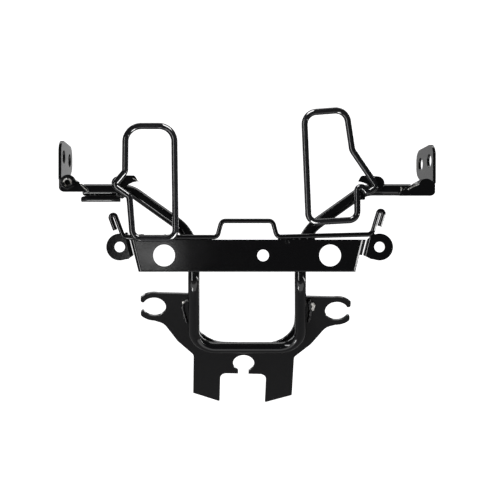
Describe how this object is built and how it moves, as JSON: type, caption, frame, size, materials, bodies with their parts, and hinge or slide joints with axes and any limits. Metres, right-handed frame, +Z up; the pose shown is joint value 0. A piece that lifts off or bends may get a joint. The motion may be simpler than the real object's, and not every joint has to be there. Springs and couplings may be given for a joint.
{
  "type": "instrument bracket",
  "caption": "Welded black steel bracket for motorbike instruments: round bar frame, drilled cross plate, keyhole plate, end brackets and wire cable loops.",
  "frame": {"origin": "midway between the two large holes, on the front face of the cross plate", "axes": "+X across the bracket along the line through both large holes, +Z up, +Y towards the back"},
  "size_m": [0.3222, 0.1012, 0.2593],
  "materials": {
    "sheet_paint": "gloss black paint on pressed sheet",
    "bar_paint": "gloss black paint on round bar",
    "wire_paint": "gloss black paint on wire",
    "nut_paint": "gloss black paint on the nut, bare thread"
  },
  "bodies": {
    "root": {"cross_plate": "sheet_paint", "lower_plate": "sheet_paint", "frame_bar": "bar_paint", "top_wire": "wire_paint", "left_loop": "wire_paint", "right_loop": "wire_paint", "left_ear": "sheet_paint", "right_ear": "sheet_paint", "left_end_bracket": "sheet_paint", "right_end_bracket": "sheet_paint", "weld_nut": "nut_paint", "left_cable_hook": "sheet_paint", "right_cable_hook": "sheet_paint", "guide_bar": "bar_paint", "right_tab": "sheet_paint"}
  },
  "joints": []
}
